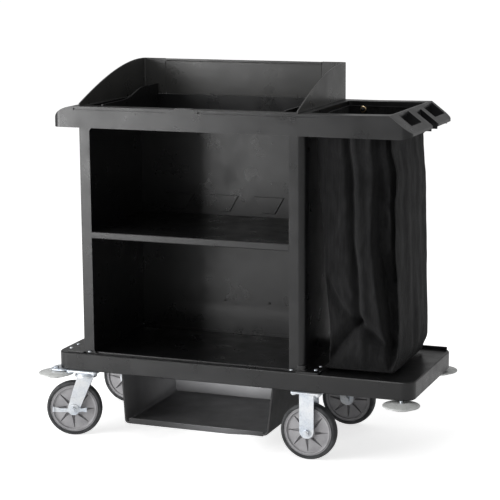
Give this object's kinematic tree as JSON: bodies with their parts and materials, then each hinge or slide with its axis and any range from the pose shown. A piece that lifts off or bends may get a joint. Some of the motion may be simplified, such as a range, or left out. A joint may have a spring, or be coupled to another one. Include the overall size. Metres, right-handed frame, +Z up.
{
  "type": "housekeeping cart",
  "caption": "Open moulded cart on casters with a shelved cabinet, a top tray with a raised hood, a hanging fabric laundry bag, a bin under the deck and corner bumpers.",
  "frame": {"origin": "on the floor, under the middle of the overall box", "axes": "+X along the cart towards the laundry bag, +Y towards the closed back, +Z up"},
  "size_m": [1.358, 0.6, 1.27],
  "materials": {
    "cart_plastic": "satin black moulded polyethylene with a fine grain",
    "hood_plastic": "satin near-black moulded sheet",
    "bag_fabric": "matte black coated woven polyester",
    "board_plastic": "dull black stiffener board",
    "zinc_steel": "zinc-plated pressed steel, slightly mottled",
    "hub_plastic": "satin grey moulded wheel centre",
    "tyre_rubber": "dark grey non-marking rubber",
    "bumper_plastic": "satin light grey plastic"
  },
  "bodies": {
    "cart": {"deck": "cart_plastic", "left_panel": "cart_plastic", "right_panel": "cart_plastic", "back_panel": "cart_plastic", "middle_shelf": "cart_plastic", "bottom_shelf": "cart_plastic", "shelf_pin_front_left": "zinc_steel", "shelf_pin_back_left": "zinc_steel", "shelf_pin_front_right": "zinc_steel", "shelf_pin_back_right": "zinc_steel", "top_tray": "cart_plastic", "hood_left": "hood_plastic", "hood_right": "hood_plastic", "hood_back": "hood_plastic", "laundry_bag": "bag_fabric", "bag_base_board": "board_plastic", "underdeck_bin": "cart_plastic", "bumper_bolt_front_left": "zinc_steel", "bumper_bolt_front_right": "zinc_steel", "bumper_bolt_back_left": "zinc_steel", "bumper_bolt_back_right": "zinc_steel", "bumper_bracket_front": "zinc_steel", "bumper_bracket_back": "zinc_steel", "caster_plate_front_left": "zinc_steel", "swivel_race_front_left": "zinc_steel", "kingpin_front_left": "zinc_steel", "caster_plate_back_left": "zinc_steel", "swivel_race_back_left": "zinc_steel", "kingpin_back_left": "zinc_steel", "fork_front_right": "zinc_steel", "axle_front_right": "zinc_steel", "axle_nut_front_right": "zinc_steel", "fork_back_right": "zinc_steel", "axle_back_right": "zinc_steel", "axle_nut_back_right": "zinc_steel"},
    "swivel_front_left": {"fork_front_left": "zinc_steel", "axle_front_left": "zinc_steel", "axle_nut_front_left": "zinc_steel"},
    "swivel_back_left": {"fork_back_left": "zinc_steel", "axle_back_left": "zinc_steel", "axle_nut_back_left": "zinc_steel"},
    "wheel_front_left": {"tyre_front_left": "tyre_rubber", "wheel_core_front_left": "hub_plastic", "wheel_bush_front_left": "zinc_steel"},
    "wheel_front_right": {"tyre_front_right": "tyre_rubber", "wheel_core_front_right": "hub_plastic", "wheel_bush_front_right": "zinc_steel"},
    "wheel_back_left": {"tyre_back_left": "tyre_rubber", "wheel_core_back_left": "hub_plastic", "wheel_bush_back_left": "zinc_steel"},
    "wheel_back_right": {"tyre_back_right": "tyre_rubber", "wheel_core_back_right": "hub_plastic", "wheel_bush_back_right": "zinc_steel"},
    "brake_front_left": {"brake_lever_front_left": "zinc_steel"},
    "brake_back_left": {"brake_lever_back_left": "zinc_steel"},
    "roller_front_left": {"bumper_front_left": "bumper_plastic"},
    "roller_front_right": {"bumper_front_right": "bumper_plastic"},
    "roller_back_left": {"bumper_back_left": "bumper_plastic"},
    "roller_back_right": {"bumper_back_right": "bumper_plastic"}
  },
  "joints": [
    {"name": "swivel_front_left", "type": "hinge", "parent": "cart", "child": "swivel_front_left", "pos_m": [-0.516, -0.215, 0.2], "axis": [0, 0, 1], "continuous": true},
    {"name": "swivel_back_left", "type": "hinge", "parent": "cart", "child": "swivel_back_left", "pos_m": [-0.516, 0.215, 0.2], "axis": [0, 0, 1], "continuous": true},
    {"name": "wheel_front_left", "type": "hinge", "parent": "swivel_front_left", "child": "wheel_front_left", "pos_m": [-0.55594, -0.22798, 0.096], "axis": [-0.309, 0.9511, 0], "continuous": true},
    {"name": "brake_front_left", "type": "hinge", "parent": "swivel_front_left", "child": "brake_front_left", "pos_m": [-0.55594, -0.22798, 0.096], "axis": [-0.309, 0.9511, 0], "range_deg": [0, 16]},
    {"name": "wheel_back_left", "type": "hinge", "parent": "swivel_back_left", "child": "wheel_back_left", "pos_m": [-0.558, 0.215, 0.096], "axis": [0, 1, 0], "continuous": true},
    {"name": "brake_back_left", "type": "hinge", "parent": "swivel_back_left", "child": "brake_back_left", "pos_m": [-0.558, 0.215, 0.096], "axis": [0, 1, 0], "range_deg": [0, 16]},
    {"name": "wheel_front_right", "type": "hinge", "parent": "cart", "child": "wheel_front_right", "pos_m": [0.298, -0.215, 0.096], "axis": [0, 1, 0], "continuous": true},
    {"name": "wheel_back_right", "type": "hinge", "parent": "cart", "child": "wheel_back_right", "pos_m": [0.298, 0.215, 0.096], "axis": [0, 1, 0], "continuous": true},
    {"name": "roller_front_left", "type": "hinge", "parent": "cart", "child": "roller_front_left", "pos_m": [-0.618, -0.239, 0.216], "axis": [0, 0, 1], "continuous": true},
    {"name": "roller_front_right", "type": "hinge", "parent": "cart", "child": "roller_front_right", "pos_m": [0.618, -0.239, 0.216], "axis": [0, 0, 1], "continuous": true},
    {"name": "roller_back_left", "type": "hinge", "parent": "cart", "child": "roller_back_left", "pos_m": [-0.618, 0.239, 0.216], "axis": [0, 0, 1], "continuous": true},
    {"name": "roller_back_right", "type": "hinge", "parent": "cart", "child": "roller_back_right", "pos_m": [0.618, 0.239, 0.216], "axis": [0, 0, 1], "continuous": true}
  ]
}
